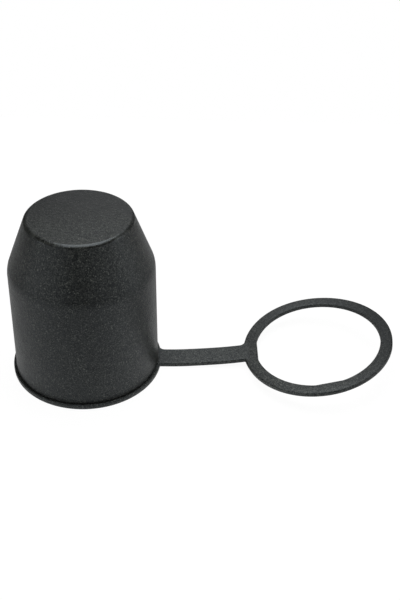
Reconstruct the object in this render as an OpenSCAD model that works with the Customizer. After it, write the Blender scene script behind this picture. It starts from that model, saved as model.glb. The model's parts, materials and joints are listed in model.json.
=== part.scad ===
// Tow ball cover: one soft moulding in a single piece.
// A thin-walled cap with a coned crown slips over the ball, and a bent strap carries
// a flat ring that stays round the neck of the ball when the cap is pulled off.
// The mouth of the cap lies on z = 0 with its centre at the origin; the strap runs along +X.

/* [Cap] */
// Inside diameter of the straight socket that slips over the ball
socket_d = 57.8; // [52:0.2:64]
// Thickness of the wall, the cone and the flat top
wall_t = 2; // [1.4:0.1:3.6]
// Taper of the outside wall, which lets the cap leave its mould
draft_deg = 0.9; // [0:0.1:3]
// Height of the cap from its mouth to its flat top
cap_h = 75.6; // [66:0.2:90]
// Height at which the wall turns in to the cone
shoulder_h = 52.4; // [40:0.2:62]
// Diameter of the flat top out to the corner of the cone
crown_d = 44.2; // [34:0.2:54]
// Radius of the soft bend at the shoulder
shoulder_round = 10; // [4:0.1:16]
// Radius of the rounding round the flat top
crown_round = 1.8; // [0.8:0.1:3]
// Radius inside the cap, where the cone meets the flat top
inner_round = 1; // [0.4:0.1:2]

/* [Rim] */
// Height of the rim round the mouth
rim_h = 2.2; // [1.9:0.1:4]
// How far the rim stands out from the foot of the wall
rim_w = 1.3; // [0.9:0.1:4]
// Radius of the rim's two outer edges
rim_round = 0.4; // [0.2:0.05:0.6]
// Radius in the corner between the rim and the wall
foot_round = 0.3; // [0.1:0.05:0.6]

/* [Strap] */
// Width of the strap
strap_w = 10; // [6:0.5:18]
// Thickness of the strap and of the ring
strap_t = 1.9; // [1.2:0.1:2.2]
// Distance along X from the rim to the near edge of the ring
strap_reach = 37.7; // [25:0.1:60]
// Level stretch of the strap next to the rim
strap_level = 4.3; // [1:0.1:10]
// Slope of the ring, which the strap bends up to
slope_deg = 10.4; // [3:0.2:30]
// Radius in the corner between the strap and the rim on the +Y side; the other corner is sharp
root_fillet = 2.5; // [0.8:0.1:4]
// Radius in the corner between the strap and the ring on the +Y side
ring_fillet = 2.4; // [0.3:0.1:5]
// Radius in the corner between the strap and the ring on the -Y side
ring_fillet_sharp = 0.6; // [0.3:0.1:5]

/* [Ring] */
// Diameter of the hole in the ring, which passes over the ball
ring_hole_d = 55.8; // [50:0.2:64]
// Width of the flat band of the ring
ring_band = 5.4; // [3:0.1:10]

/* [Hidden] */
$fn = 160;
// Steps in each rounded corner of an outline
corner_steps = 12;
// Steps in the long bend of the strap
bend_steps = 24;
// Spare length by which a cutting shape runs past what it cuts
past = 1;
// Depth to which a web's arc runs into the round edge that it blends into
bite = 0.02;
rubber = [0.16, 0.165, 0.175];

socket_r = socket_d / 2;
shoulder_r = socket_r + wall_t;
foot_r = shoulder_r + (shoulder_h - rim_h) * tan(draft_deg);
rim_r = foot_r + rim_w;
crown_r = crown_d / 2;
// Lean of the cone from the vertical
cone_deg = atan2(shoulder_r - crown_r, cap_h - shoulder_h);
// The inside follows the shoulder and the cone one wall thickness in
inner_shoulder_h = shoulder_h - wall_t * tan(cone_deg / 2);
inner_top_h = cap_h - wall_t;
inner_crown_r = socket_r - (inner_top_h - inner_shoulder_h) * tan(cone_deg);
inner_shoulder_round = shoulder_round - wall_t;

ring_hole_r = ring_hole_d / 2;
ring_r = ring_hole_r + ring_band;
// The top of the strap is level with the top of the rim
strap_lift = rim_h - strap_t;
bend_r = (strap_reach - strap_level) / sin(slope_deg);
bend_x = rim_r + strap_level;
edge_x = rim_r + strap_reach;
edge_h = strap_lift + bend_r * (1 - cos(slope_deg));

function unit(v) = v / norm(v);

// Points of the arc of radius r that rounds the corner b between the points a and c
function corner(a, b, c, r, steps = corner_steps) =
    let (
        to_a = unit(a - b),
        to_c = unit(c - b),
        half = acos(to_a * to_c) / 2,
        centre = b + unit(to_a + to_c) * r / sin(half),
        start = b + to_a * r / tan(half) - centre,
        turn = sign(cross(b - a, c - b)) * (180 - 2 * half),
        first = atan2(start.y, start.x)
    )
    [for (i = [0 : steps]) centre + r * [cos(first + turn * i / steps), sin(first + turn * i / steps)]];

// Outline of the cap's outside, from the mouth up to the axis
module cap_outline() {
    mouth = [0, 0];
    rim_low = [rim_r, 0];
    rim_top = [rim_r, rim_h];
    foot = [foot_r, rim_h];
    shoulder = [shoulder_r, shoulder_h];
    crown = [crown_r, cap_h];
    top = [0, cap_h];
    polygon(concat(
        [mouth],
        corner(mouth, rim_low, rim_top, rim_round),
        corner(rim_low, rim_top, foot, rim_round),
        corner(rim_top, foot, shoulder, foot_round),
        corner(foot, shoulder, crown, shoulder_round),
        corner(shoulder, crown, top, crown_round),
        [top]
    ));
}

// Outline of the hollow inside the cap, open through the mouth
module socket_outline() {
    low = [socket_r, -past];
    shoulder = [socket_r, inner_shoulder_h];
    crown = [inner_crown_r, inner_top_h];
    top = [0, inner_top_h];
    polygon(concat(
        [[0, -past], low],
        corner(low, shoulder, crown, inner_shoulder_round),
        corner(shoulder, crown, top, inner_round),
        [top]
    ));
}

// Side view of the strap's sheet: level at the rim, then bent up to the slope of the ring
module sheet_outline() {
    along = [cos(slope_deg), sin(slope_deg)];
    across = [-tan(slope_deg / 2), 1] * strap_t;
    bend = [bend_x + bend_r * tan(slope_deg / 2), strap_lift];
    start = [0, strap_lift];
    end = bend + along * (bend_r * tan(slope_deg / 2) + 2 * ring_r + past);
    start_top = start + [0, strap_t];
    end_top = end + [-sin(slope_deg), cos(slope_deg)] * strap_t;
    polygon(concat(
        [start],
        corner(start, bend, end, bend_r, bend_steps),
        [end, end_top],
        corner(end_top, bend + across, start_top, bend_r - strap_t, bend_steps),
        [start_top]
    ));
}

// Web that rounds the corner where the strap runs out of a disc of radius r towards +X,
// on the side of the strap that faces +Y (side = 1) or -Y (side = -1)
module web(r, fillet, side) {
    centre_y = strap_w / 2 + fillet;
    centre_x = sqrt(pow(r - bite + fillet, 2) - pow(centre_y, 2));
    difference() {
        polygon([[0, 0], [centre_x, 0], [centre_x, side * centre_y]]);
        translate([centre_x, side * centre_y]) circle(fillet);
    }
}

// Places what lies in the plane of the ring, with the ring's near edge at the origin
module on_slope() {
    translate([edge_x, 0, edge_h]) rotate([0, -slope_deg, 0]) children();
}

// Upright walls of the strap and its root, tall enough to cut the whole bend from the sheet
module strap_walls() {
    translate([0, 0, -past]) linear_extrude(edge_h + strap_t + ring_r) {
        translate([0, -strap_w / 2]) square([edge_x + ring_band / 2, strap_w]);
        web(rim_r - rim_round, root_fillet, 1);
    }
}

// Walls of the ring, square to its own plane
module ring_walls() {
    on_slope() translate([ring_r, 0, -past]) linear_extrude(strap_t + 2 * past) {
        circle(ring_r);
        mirror([1, 0]) {
            web(ring_r, ring_fillet, 1);
            web(ring_r, ring_fillet_sharp, -1);
        }
    }
}

// Strap and ring in one bent sheet of even thickness
module tongue() {
    difference() {
        intersection() {
            rotate([90, 0, 0]) linear_extrude(2 * (ring_r + past), center = true) sheet_outline();
            union() {
                strap_walls();
                ring_walls();
            }
        }
        on_slope() translate([ring_r, 0, -2 * past]) cylinder(r = ring_hole_r, h = strap_t + 4 * past);
    }
}

module cover() {
    color(rubber) difference() {
        union() {
            rotate_extrude() cap_outline();
            tongue();
        }
        rotate_extrude() socket_outline();
    }
}

cover();
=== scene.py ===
import json
import math

import bmesh
import bpy
from mathutils import Matrix, Vector


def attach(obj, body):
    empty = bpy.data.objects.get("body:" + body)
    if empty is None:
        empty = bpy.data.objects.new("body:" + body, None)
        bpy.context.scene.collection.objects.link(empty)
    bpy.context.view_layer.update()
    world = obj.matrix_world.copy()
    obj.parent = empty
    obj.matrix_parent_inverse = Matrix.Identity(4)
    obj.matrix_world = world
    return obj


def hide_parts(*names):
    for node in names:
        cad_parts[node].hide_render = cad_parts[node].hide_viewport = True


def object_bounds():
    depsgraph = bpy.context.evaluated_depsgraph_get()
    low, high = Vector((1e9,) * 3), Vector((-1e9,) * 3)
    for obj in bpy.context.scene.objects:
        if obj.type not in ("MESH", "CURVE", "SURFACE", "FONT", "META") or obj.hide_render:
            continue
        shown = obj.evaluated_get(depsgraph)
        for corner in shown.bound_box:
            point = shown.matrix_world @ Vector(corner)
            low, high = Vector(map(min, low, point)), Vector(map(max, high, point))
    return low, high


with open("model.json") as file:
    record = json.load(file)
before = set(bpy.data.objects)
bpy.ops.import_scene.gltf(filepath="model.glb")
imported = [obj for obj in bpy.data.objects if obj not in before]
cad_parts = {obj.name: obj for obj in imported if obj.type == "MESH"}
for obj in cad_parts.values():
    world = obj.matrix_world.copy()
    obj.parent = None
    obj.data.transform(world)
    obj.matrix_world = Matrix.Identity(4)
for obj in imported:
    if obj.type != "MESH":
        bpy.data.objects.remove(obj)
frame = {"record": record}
cad_low, cad_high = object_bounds()


# The camera looks down on the cover from a little right of the cap, as the photograph does.
# Its place and angles are those at which the cover's outlines fall where the photograph has them.
camera_place = Vector((0.0409, -0.3044, 0.2612))
camera_yaw = math.radians(1.70)
camera_pitch = math.radians(-36.71)
camera_roll = math.radians(1.77)
camera_data = bpy.data.cameras.new("photo_camera")
camera_data.sensor_width = 36.0
camera_data.lens = 52.73
camera_data.clip_start = 0.01
camera_data.clip_end = 20.0
camera = bpy.data.objects.new("photo_camera", camera_data)
bpy.context.scene.collection.objects.link(camera)
camera.matrix_world = (
    Matrix.Translation(camera_place)
    @ Matrix.Rotation(-camera_yaw, 4, "Z")
    @ Matrix.Rotation(math.pi / 2 + camera_pitch, 4, "X")
    @ Matrix.Rotation(camera_roll, 4, "Z")
)
bpy.context.scene.camera = camera


# The cap is the thick part of the moulding: a straight socket, a coned crown and a flat top,
# with a rim round its mouth. It is turned here from its section, as its mould is.
mounts = {mount["name"]: mount for mount in frame["record"]["mounts"]}
socket_r = mounts["socket"]["dims"]["r_mm"] / 1000
wall = 0.0020
cap_h = cad_high.z
rim_r = -cad_low.x
rim_h = 0.0022
# A narrow crevice runs round the foot of the wall, between it and the rim
crevice_h = rim_h - 0.0006
foot_r = rim_r - 0.0013
shoulder_r = socket_r + wall
shoulder_h = 0.0524
crown_r = 0.0221
cone = math.atan2(shoulder_r - crown_r, cap_h - shoulder_h)
inner_shoulder_h = shoulder_h - wall * math.tan(cone / 2)
inner_crown_r = socket_r - (cap_h - wall - inner_shoulder_h) * math.tan(cone)
turn_steps = 256
# Two places are taken as one when they lie no further apart than this
slack = 1e-6

section = {
    "inner_pole": (0, cap_h - wall),
    "inner_crown": (inner_crown_r, cap_h - wall),
    "inner_shoulder": (socket_r, inner_shoulder_h),
    "mouth": (socket_r, 0),
    "rim_low": (rim_r, 0),
    "rim_top": (rim_r, rim_h),
    "lip": (foot_r + 0.00045, rim_h),
    "crease": (foot_r + 0.00025, crevice_h),
    "foot": (foot_r, crevice_h),
    "shoulder": (shoulder_r, shoulder_h),
    "crown": (crown_r, cap_h),
    "pole": (0, cap_h),
}
# How far each corner is cut back before it is rounded, and in how many steps
rounding = {
    "inner_crown": (0.0007, 3),
    "inner_shoulder": (0.00146, 6),
    "rim_low": (0.0004, 3),
    "rim_top": (0.0004, 3),
    "lip": (0.0001, 2),
    "shoulder": (0.00183, 12),
    "crown": (0.00130, 8),
}


def edges_at(mesh, corner):
    """The edges of a turned mesh that run round it at one corner of the section."""
    radius, height = section[corner]
    found = []
    for edge in mesh.edges:
        ends = [(math.hypot(v.co.x, v.co.y) - radius, v.co.z - height) for v in edge.verts]
        if all(abs(out) < slack and abs(up) < slack for out, up in ends):
            found.append(edge)
    return found


cap = bmesh.new()
outline = [cap.verts.new((r, 0, z)) for r, z in section.values()]
lines = [cap.edges.new(pair) for pair in zip(outline[:-1], outline[1:])]
# The long lines of the section, its walls and flat tops, are divided along their length
long_lines = [line for line in lines if line.calc_length() > 0.01]
bmesh.ops.subdivide_edges(cap, edges=long_lines, cuts=14)
bmesh.ops.spin(
    cap, geom=cap.verts[:] + cap.edges[:], axis=(0, 0, 1), cent=(0, 0, 0),
    steps=turn_steps, angle=math.tau, use_merge=True,
)
bmesh.ops.remove_doubles(cap, verts=cap.verts, dist=1e-7)
for corner, (cut, steps) in rounding.items():
    bmesh.ops.bevel(
        cap, geom=edges_at(cap, corner), offset=cut, offset_type="OFFSET", segments=steps,
        profile=0.5, affect="EDGES", material=-1,
    )
# The soft rim is a little out of true and stands out most at the front right
rim_shift = Vector((0.00010, -0.00018, 0))
for vert in cap.verts:
    if math.hypot(vert.co.x, vert.co.y) > foot_r + 0.0002 and vert.co.z < rim_h + 0.0001:
        vert.co += rim_shift
# So is the crown: up the cone it is drawn out more and more to the right, and its front forward
drawn_from = 0.060
drawn_over = 0.014
crown_right = 0.00012
crown_forward = 0.0003
for vert in cap.verts:
    drawn = min(max((vert.co.z - drawn_from) / drawn_over, 0), 1)
    forward = 0.5 - vert.co.y / (2 * crown_r)
    vert.co += Vector((crown_right, -crown_forward * forward, 0)) * drawn
bmesh.ops.recalc_face_normals(cap, faces=cap.faces)
cap_mesh = bpy.data.meshes.new("cap")
cap.to_mesh(cap_mesh)
cap.free()


# The tongue is the thin flat part of the same moulding: the strap and its keeper ring, of one
# thickness. It is cut flat round the ring's centre, its edges are eased, and then it is bent up.
ring = mounts["ring_hole"]
hole_r = ring["dims"]["r_mm"] / 1000
thick = ring["dims"]["length_mm"] / 1000
slope = math.atan2(ring["axis"][0], -ring["axis"][2])
ring_r = cad_high.y
strap_half = 0.00508
# The strap comes out of the rim a hair below the rim's top
lift = rim_h - thick - 0.00002
level_end = rim_r + 0.0043
ring_place = Vector(ring["pos_m"]) + Vector(ring["axis"]) * thick / 2
edge_x = ring_place.x - ring_r * math.cos(slope)
bend_r = (edge_x - level_end) / math.sin(slope)
bend_run = bend_r * slope
# Distance from the cap's axis to the ring's centre along the flat tongue
reach = level_end + bend_run + ring_r
# The strap starts inside the wall of the cap
root_x = socket_r + 0.0012
root_fillet = 0.0025
# Radii of the corners between strap and ring, on the far side (1) and the near side (-1)
fillets = {1: 0.0024, -1: 0.0006}
ring_steps = 180
# The soft ring is a little out of true, and its hole is a little flat at the strap and in front
out_of_true = 0.00014
hole_bulge = 0.00016
ring_bulge = 0.00016
bulge_angle = math.radians(38)
flats = ((math.radians(-85), 0.02745), (math.radians(180), 0.0270))
# The ring's outer edge wanders between these two angles from its far end, and runs back to the
# true circle from the third one on
wander_low = math.radians(-169)
wander_high = math.radians(143)
wander_fades = math.radians(-158)
wander_fade = math.radians(12)
# The bent strap bows up a little, and it and the ring lean a little to the far side
bow_h = 0.00012
lean = 0.0002
lean_over = 0.012


def wavy(radius, angle):
    """The radius of the ring at an angle from its far end, for a mean radius."""
    return radius + out_of_true * math.cos(3 * (angle - math.radians(14)))


tongue = bmesh.new()
bmesh.ops.create_circle(tongue, cap_ends=False, segments=ring_steps, radius=ring_r)
rim_edges = tongue.edges[:]
# A point of the ring is moved to where each rounded corner of the strap runs into it
corner_angle = {
    side: math.asin((strap_half + fillet) / (ring_r + fillet))
    for side, fillet in fillets.items()
}
for vert in tongue.verts:
    angle = math.atan2(vert.co.y, -vert.co.x)
    side = 1 if angle > 0 else -1
    if abs(abs(angle) - corner_angle[side]) < math.pi / ring_steps:
        angle = side * corner_angle[side]
        vert.co = (-ring_r * math.cos(angle), ring_r * math.sin(angle), 0)
band = bmesh.ops.extrude_edge_only(tongue, edges=rim_edges)
hole = [item for item in band["geom"] if isinstance(item, bmesh.types.BMVert)]
outer = [vert for vert in tongue.verts if vert not in hole]
for vert in hole:
    angle = math.atan2(vert.co.y, vert.co.x)
    radius = wavy(hole_r, angle) + hole_bulge * max(0, -math.sin(angle))
    for facing, distance in flats:
        turned = math.cos(angle - facing)
        if turned > 0.9:
            radius = min(radius, distance / turned)
    vert.co = (radius * math.cos(angle), radius * math.sin(angle), 0)
for vert in outer:
    angle = math.atan2(vert.co.y, vert.co.x)
    if wander_low < angle < wander_high:
        radius = wavy(ring_r - out_of_true, angle)
        radius += ring_bulge * max(0, math.cos(2 * (angle - bulge_angle)))
        radius += (ring_r - radius) * max(0, wander_fades - angle) / wander_fade
        vert.co = (radius * math.cos(angle), radius * math.sin(angle), 0)
# The strap grows out of the stretch of the ring between its two corners
low_y, high_y = [side * ring_r * math.sin(corner_angle[side]) for side in (-1, 1)]
strap_edges = [
    edge for edge in rim_edges
    if all(v.co.x < 0 and low_y - slack < v.co.y < high_y + slack for v in edge.verts)
]
strap = bmesh.ops.extrude_edge_only(tongue, edges=strap_edges)
for item in strap["geom"]:
    if isinstance(item, bmesh.types.BMVert):
        item.co.x = root_x - reach
bmesh.ops.translate(tongue, vec=(reach, 0, 0), verts=tongue.verts)
# Where the rounded corner at the rim starts and ends, and where those at the ring start
flare_end = math.sqrt((rim_r + root_fillet) ** 2 - (strap_half + root_fillet) ** 2)
flare_start = flare_end * rim_r / (rim_r + root_fillet)
corner_start = {
    side: reach - math.sqrt((ring_r + fillet) ** 2 - (strap_half + fillet) ** 2)
    for side, fillet in fillets.items()
}
ring_edge = reach - ring_r


def spaced(start, end, count):
    """Evenly spaced places, from the first one after the start to the end."""
    return [start + (end - start) * step / count for step in range(1, count + 1)]


# Cuts across the strap: close together in the corner at its root, evenly along it, and close
# together again in the corners at the ring
cuts = [flare_start] + spaced(flare_start, flare_end, 8)
cuts += spaced(flare_end, corner_start[1], 34)
cuts += spaced(corner_start[1], ring_edge - 0.0001, 6)
cuts += [ring_edge + step for step in (0.00005, 0.00023, 0.00040)]
for x in cuts:
    bmesh.ops.bisect_plane(
        tongue, geom=tongue.verts[:] + tongue.edges[:] + tongue.faces[:], dist=1e-7,
        plane_co=(x, 0, 0), plane_no=(1, 0, 0),
    )
# So far the strap is as wide as its stretch of the ring. It is drawn in to its own width and to
# the arcs of its corners; points of the ring stay where they are.
for vert in tongue.verts:
    back = reach - vert.co.x
    if back > 0.97 * ring_r and math.hypot(back, vert.co.y) > ring_r + 1e-7:
        side = 1 if vert.co.y > 0 else -1
        ring_y = math.sqrt(max(ring_r ** 2 - back ** 2, 0))
        out = max(vert.co.x - corner_start[side], 0)
        edge_y = strap_half + fillets[side] - math.sqrt(fillets[side] ** 2 - out ** 2)
        full_y = ring_r * math.sin(corner_angle[side])
        part = (abs(vert.co.y) - ring_y) / (full_y - ring_y)
        vert.co.y = side * (ring_y + part * (edge_y - ring_y))
# It widens to the rim in a rounded corner on its far side
for vert in tongue.verts:
    if vert.co.x < flare_end and vert.co.y > strap_half - slack:
        out = flare_end - max(vert.co.x, flare_start)
        vert.co.y = strap_half + root_fillet - math.sqrt(root_fillet ** 2 - out ** 2)
thickened = bmesh.ops.extrude_face_region(tongue, geom=tongue.faces[:])
upper = [item for item in thickened["geom"] if isinstance(item, bmesh.types.BMVert)]
bmesh.ops.translate(tongue, vec=(0, 0, thick), verts=upper)
bmesh.ops.recalc_face_normals(tongue, faces=tongue.faces)

# The upper outer edge is well rounded; the lower one and those of the hole are only eased
sharp = math.radians(60)
for rounded, eased, steps in ((True, 0.00055, 4), (False, 0.00015, 2)):
    edges = []
    for edge in tongue.edges:
        if not edge.is_manifold or edge.calc_face_angle() < sharp:
            continue
        high = all(v.co.z > thick - slack for v in edge.verts)
        outside = all(math.hypot(v.co.x - reach, v.co.y) > ring_r - 0.002 for v in edge.verts)
        if (high and outside) == rounded:
            edges.append(edge)
    bmesh.ops.bevel(
        tongue, geom=edges, offset=eased, offset_type="OFFSET", segments=steps,
        profile=0.5, affect="EDGES", material=-1,
    )

bmesh.ops.remove_doubles(tongue, verts=tongue.verts, dist=5e-6)
bmesh.ops.recalc_face_normals(tongue, faces=tongue.faces)


def bent(point):
    """Where a point of the flat tongue goes when the strap is bent up to the ring's slope."""
    run = point.x - level_end
    if run <= 0:
        return Vector((point.x, point.y, lift + point.z))
    turn = min(run / bend_r, slope)
    rest = max(run - bend_run, 0)
    bow = bow_h * math.sin(math.pi * min(run / bend_run, 1)) ** 2
    x = level_end + (bend_r - point.z) * math.sin(turn) + rest * math.cos(slope)
    y = point.y + lean * min(run / lean_over, 1)
    z = lift + bend_r - (bend_r - point.z) * math.cos(turn) + rest * math.sin(slope)
    return Vector((x, y, z + bow))


for vert in tongue.verts:
    vert.co = bent(vert.co)
tongue_mesh = bpy.data.meshes.new("tongue")
tongue.to_mesh(tongue_mesh)
tongue.free()


# The cover is one soft moulding: the cap and the tongue grow out of one another at the rim.
cover = bpy.data.objects.new("rubber_cover", cap_mesh)
bpy.context.scene.collection.objects.link(cover)
tongue_object = bpy.data.objects.new("tongue", tongue_mesh)
bpy.context.scene.collection.objects.link(tongue_object)
join = cover.modifiers.new("join", "BOOLEAN")
join.operation = "UNION"
join.solver = "EXACT"
join.object = tongue_object
bpy.context.view_layer.update()
joined = bpy.data.meshes.new_from_object(cover.evaluated_get(bpy.context.evaluated_depsgraph_get()))
cover.modifiers.remove(join)
cover.data = joined
bpy.data.objects.remove(tongue_object)
joined.name = "rubber_cover"
for polygon in joined.polygons:
    polygon.use_smooth = True
joined.set_sharp_from_angle(angle=math.radians(40))

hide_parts("cover")
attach(cover, "root")


# Black rubber, straight from the mould. Its skin keeps the fine turning marks of the mould, which
# run round the cap and the ring and along the strap, with a blotchy grain and flecks of dust.
rubber = bpy.data.materials.new("moulded_rubber")
rubber.use_nodes = True
nodes = rubber.node_tree.nodes
links = rubber.node_tree.links
shader = nodes["Principled BSDF"]
shader.inputs["Specular Tint"].default_value = (0.91, 1.0, 1.06, 1)
shader.inputs["Anisotropic"].default_value = 0.6
shader.inputs["Anisotropic Rotation"].default_value = 0.25
coordinates = nodes.new("ShaderNodeTexCoord").outputs["Object"]


def grain(scale, detail, roughness):
    """A noise pattern on the moulding, with its scale in waves per metre."""
    texture = nodes.new("ShaderNodeTexNoise")
    texture.inputs["Scale"].default_value = scale
    texture.inputs["Detail"].default_value = detail
    texture.inputs["Roughness"].default_value = roughness
    links.new(coordinates, texture.inputs["Vector"])
    return texture.outputs["Fac"]


def remap(value, low, high, to_low, to_high):
    """Stretches a pattern's range from low..high to to_low..to_high."""
    node = nodes.new("ShaderNodeMapRange")
    node.inputs["From Min"].default_value = low
    node.inputs["From Max"].default_value = high
    node.inputs["To Min"].default_value = to_low
    node.inputs["To Max"].default_value = to_high
    links.new(value, node.inputs["Value"])
    return node.outputs["Result"]


def arithmetic(operation, first, second):
    """One sum on two patterns, or on a pattern and a number."""
    node = nodes.new("ShaderNodeMath")
    node.operation = operation
    for socket, value in zip(node.inputs, (first, second)):
        if isinstance(value, (int, float)):
            socket.default_value = value
        else:
            links.new(value, socket)
    return node.outputs["Value"]


def direction(operation, first, second):
    """One sum on two directions, each a pattern or three numbers."""
    node = nodes.new("ShaderNodeVectorMath")
    node.operation = operation
    for socket, value in zip(node.inputs, (first, second)):
        if isinstance(value, bpy.types.NodeSocket):
            links.new(value, socket)
        else:
            socket.default_value = value
    return node.outputs["Vector"]


def either(share, first, second):
    """The first direction where the share is 0, the second where it is 1."""
    node = nodes.new("ShaderNodeMix")
    node.data_type = "VECTOR"
    links.new(share, node.inputs["Factor"])
    # The node has a pair of sockets for every type; these are the ones for directions
    links.new(first, node.inputs[4])
    links.new(second, node.inputs[5])
    return node.outputs[1]


apart = nodes.new("ShaderNodeSeparateXYZ")
links.new(coordinates, apart.inputs["Vector"])
along, across, up = apart.outputs["X"], apart.outputs["Y"], apart.outputs["Z"]
ring_up = [-part for part in ring["axis"]]
round_cap = direction("CROSS_PRODUCT", (0, 0, 1), coordinates)
round_cap = direction("NORMALIZE", round_cap, (0, 0, 0))
round_ring = direction("SUBTRACT", coordinates, list(ring["pos_m"]))
round_ring = direction("CROSS_PRODUCT", ring_up, round_ring)
round_ring = direction("NORMALIZE", round_ring, (0, 0, 0))
lengthwise = direction("ADD", (1, 0, 0), (0, 0, 0))
crosswise = direction("ADD", (0, 1, 0), (0, 0, 0))
# Where one run of the turning marks gives way to the next: wall, flat top, strap and ring
marks = either(remap(up, cap_h - 0.0004, cap_h - 0.0001, 0, 1), round_cap, crosswise)
marks = either(remap(along, foot_r + 0.0001, foot_r + 0.0003, 0, 1), marks, lengthwise)
marks = either(remap(along, edge_x + 0.001, edge_x + 0.003, 0, 1), marks, round_ring)
links.new(marks, shader.inputs["Tangent"])

flat_part = direction("MULTIPLY", coordinates, (1, 1, 0))
dot = nodes.new("ShaderNodeVectorMath")
dot.operation = "DOT_PRODUCT"
links.new(flat_part, dot.inputs[0])
links.new(flat_part, dot.inputs[1])
spread = dot.outputs["Value"]
on_top = remap(up, cap_h - 0.0012, cap_h - 0.0002, 0, 1)
# The front edge of the flat top is rubbed smoother than the rest
worn = remap(spread, 0.0206 ** 2, 0.0209 ** 2, 0, 1)
worn = arithmetic("MULTIPLY", worn, remap(up, cap_h - 0.0014, cap_h - 0.0010, 0, 1))
worn = arithmetic("MULTIPLY", worn, remap(across, -0.016, -0.006, 1, 0))

speckle = grain(2000, 2, 0.7)
blotch = grain(750, 1, 0.5)
mottle = grain(220, 3, 0.6)
cloud = grain(32, 3, 0.5)
fleck = remap(grain(2000, 0, 0.5), 0.73, 0.80, 0, 1)
# The height from which the skin is all that of the cone; it changes above the shoulder's corner
cone_skin_h = shoulder_h + 0.010
# The grain is strongest on the cap's wall and weakest on the strap and the ring
plain = remap(along, rim_r, rim_r + 0.001, 1, 0.45)
strong = arithmetic("MULTIPLY", plain, remap(on_top, 0, 1, 1, 0.7))
strong = arithmetic("MULTIPLY", strong, remap(up, shoulder_h, cone_skin_h, 4.8, 2.7))
strong = arithmetic("MULTIPLY", strong, remap(worn, 0, 1, 1.0, 0.3))
# The tone is a factor on the rubber's colour, never quite black
tone = arithmetic("MULTIPLY", remap(speckle, 0.3, 0.7, -1, 1), strong)
tone = arithmetic("ADD", tone, remap(blotch, 0.25, 0.75, -0.7, 0.7))
tone = arithmetic("MAXIMUM", arithmetic("ADD", tone, 0.95), 0.02)
for drift in (mottle, cloud):
    tone = arithmetic("MULTIPLY", tone, remap(drift, 0.3, 0.7, 0.85, 1.15))
# Painted light and shade: the flat top is painted paler towards the front, and the ring is painted
# darkest at its far end, as light falls on them
front_painted_light = remap(across, -crown_r, crown_r, 0.45, -1.15)
painted_light_and_shade = arithmetic("MULTIPLY", on_top, front_painted_light)
painted_light_and_shade = arithmetic("ADD", painted_light_and_shade, remap(along, 0.108, 0.132, 0, -0.8))
# Painted light: strap and ring are painted paler than the cap, most so on their near side
near_painted_light = remap(across, -0.028, 0.028, 1.05, 0.25)
near_painted_light = arithmetic("MULTIPLY", near_painted_light, remap(along, rim_r, rim_r + 0.002, 0, 1))
painted_light_and_shade = arithmetic("ADD", painted_light_and_shade, near_painted_light)
# Painted light and shade: the wall is painted darker and the cone paler, so the cone is a touch
# paler than the wall
painted_light_and_shade = arithmetic("ADD", painted_light_and_shade, remap(up, shoulder_h + 0.002, cone_skin_h, -0.20, 0.16))
tone = arithmetic("MULTIPLY", tone, arithmetic("ADD", painted_light_and_shade, 1.0))
# The flecks of dust show most on the cap
dust = arithmetic("MULTIPLY", plain, remap(up, shoulder_h, cone_skin_h, 3.0, 3.4))
tone = arithmetic("ADD", tone, arithmetic("MULTIPLY", fleck, dust))
colour = nodes.new("ShaderNodeVectorMath")
colour.operation = "SCALE"
colour.inputs[0].default_value = (0.0192, 0.0203, 0.0180)
links.new(tone, colour.inputs["Scale"])
links.new(colour.outputs["Vector"], shader.inputs["Base Color"])
gloss = arithmetic("MULTIPLY", worn, 0.18)
rough = arithmetic("SUBTRACT", remap(mottle, 0.3, 0.7, 0.38, 0.46), gloss)
links.new(rough, shader.inputs["Roughness"])
# Heights in metres: the grain stands up a little, and the flat top swells very slightly
height = arithmetic("SUBTRACT", arithmetic("ADD", speckle, blotch), 1.0)
height = arithmetic("MULTIPLY", height, remap(worn, 0, 1, 1.0, 0.2))
height = arithmetic("MULTIPLY", height, remap(on_top, 0, 1, 0.00013, 0.00010))
swell = arithmetic("MAXIMUM", arithmetic("SUBTRACT", crown_r ** 2, spread), 0.0)
height = arithmetic("ADD", height, arithmetic("DIVIDE", swell, 0.70))
bump = nodes.new("ShaderNodeBump")
bump.inputs["Strength"].default_value = 1.0
bump.inputs["Distance"].default_value = 1.0
links.new(height, bump.inputs["Height"])
links.new(bump.outputs["Normal"], shader.inputs["Normal"])
joined.materials.clear()
joined.materials.append(rubber)


# The floor is a sheet of white card on a softly lit table, so it glows a little by itself.
# The camera sees it as clean white with a faint shadow.
floor_mesh = bpy.data.meshes.new("floor")
sheet = bmesh.new()
bmesh.ops.create_grid(sheet, x_segments=1, y_segments=1, size=0.25)
sheet.to_mesh(floor_mesh)
sheet.free()
floor = bpy.data.objects.new("floor", floor_mesh)
bpy.context.scene.collection.objects.link(floor)
floor.location = (0, 0, cad_low.z)
white = bpy.data.materials.new("white_card")
white.use_nodes = True
tree = white.node_tree
paper = tree.nodes["Principled BSDF"]
paper.inputs["Base Color"].default_value = (0.85, 0.85, 0.85, 1)
paper.inputs["Roughness"].default_value = 0.9
glow = tree.nodes.new("ShaderNodeEmission")
glow.inputs["Color"].default_value = (1, 1, 1, 1)
glow.inputs["Strength"].default_value = 1.08
path = tree.nodes.new("ShaderNodeLightPath")
seen = tree.nodes.new("ShaderNodeMath")
seen.operation = "MULTIPLY"
seen.inputs[1].default_value = 0.88
share = seen.outputs["Value"]
place = tree.nodes.new("ShaderNodeTexCoord")
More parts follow.
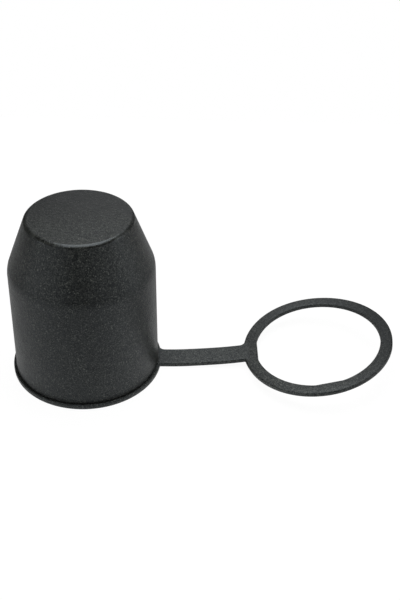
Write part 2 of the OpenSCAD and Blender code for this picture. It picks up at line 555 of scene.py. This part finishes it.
# What lights the cover is its glow round the foot of the cap and in a patch in front of the
# strap. Each spot has its middle, the radius of its core, that of its edge, and its share of glow.
spots = (
    ((0, 0, 0), 0.03, 0.06, 0.50),
    ((0.065, -0.04, 0), 0.0, 0.035, 0.58),
)
for middle, core_r, edge_r, level in spots:
    away = tree.nodes.new("ShaderNodeVectorMath")
    away.operation = "DISTANCE"
    away.inputs[1].default_value = middle
    tree.links.new(place.outputs["Object"], away.inputs[0])
    bright = tree.nodes.new("ShaderNodeMapRange")
    bright.inputs["From Min"].default_value = core_r
    bright.inputs["From Max"].default_value = edge_r
    bright.inputs["To Min"].default_value = level
    bright.inputs["To Max"].default_value = 0.0
    tree.links.new(away.outputs["Value"], bright.inputs["Value"])
    greater = tree.nodes.new("ShaderNodeMath")
    greater.operation = "MAXIMUM"
    tree.links.new(share, greater.inputs[0])
    tree.links.new(bright.outputs["Result"], greater.inputs[1])
    share = greater.outputs["Value"]
blend = tree.nodes.new("ShaderNodeMixShader")
tree.links.new(path.outputs["Is Camera Ray"], seen.inputs[0])
tree.links.new(share, blend.inputs["Fac"])
tree.links.new(paper.outputs["BSDF"], blend.inputs[1])
tree.links.new(glow.outputs["Emission"], blend.inputs[2])
tree.links.new(blend.outputs["Shader"], tree.nodes["Material Output"].inputs["Surface"])
floor_mesh.materials.append(white)


# Studio light: soft boxes hung close over the cover, weaker ones at its sides and behind it,
# and a dim room round them, which the camera sees as white.
cover_middle = Vector((0.05, 0, 0.03))


def soft_box(name, place, size, power):
    """A square lamp that faces the middle of the cover, with its side in metres and its watts."""
    data = bpy.data.lights.new(name, "AREA")
    data.shape = "SQUARE"
    data.size = size
    data.energy = power
    lamp = bpy.data.objects.new(name, data)
    bpy.context.scene.collection.objects.link(lamp)
    lamp.location = place
    lamp.rotation_mode = "QUATERNION"
    lamp.rotation_quaternion = (cover_middle - Vector(place)).to_track_quat("-Z", "Y")


soft_box("overhead", (0.05, 0.05, 0.60), 0.5, 2.34)
soft_box("overhead_back", (0.05, 0.45, 0.60), 0.5, 0.58)
soft_box("overhead_left", (-0.25, -0.25, 0.60), 0.3, 0.17)
soft_box("front_left", (-0.35, -0.45, 0.35), 0.3, 0.07)
soft_box("front_left_low", (-0.25, -0.40, 0.08), 0.15, 0.08)
soft_box("front_right_low", (0.32, -0.40, 0.08), 0.15, 0.09)
soft_box("left", (-0.65, 0, 0.22), 0.4, 0.15)
soft_box("left_low", (-0.55, -0.25, 0.12), 0.3, 0.31)
soft_box("right", (0.75, 0, 0.22), 0.4, 0.80)
soft_box("right_low", (0.65, -0.25, 0.12), 0.3, 0.20)
soft_box("behind", (0.05, 0.80, 0.25), 0.5, 0.50)

world = bpy.data.worlds.new("studio")
bpy.context.scene.world = world
world.use_nodes = True
air = world.node_tree
sky = air.nodes["Background"]
sky.inputs["Color"].default_value = (1, 1, 1, 1)
camera_white = air.nodes.new("ShaderNodeLightPath")
strength = air.nodes.new("ShaderNodeMapRange")
strength.inputs["To Min"].default_value = 0.01
strength.inputs["To Max"].default_value = 1.0
air.links.new(camera_white.outputs["Is Camera Ray"], strength.inputs["Value"])
air.links.new(strength.outputs["Result"], sky.inputs["Strength"])

bpy.context.scene.view_settings.view_transform = "Standard"
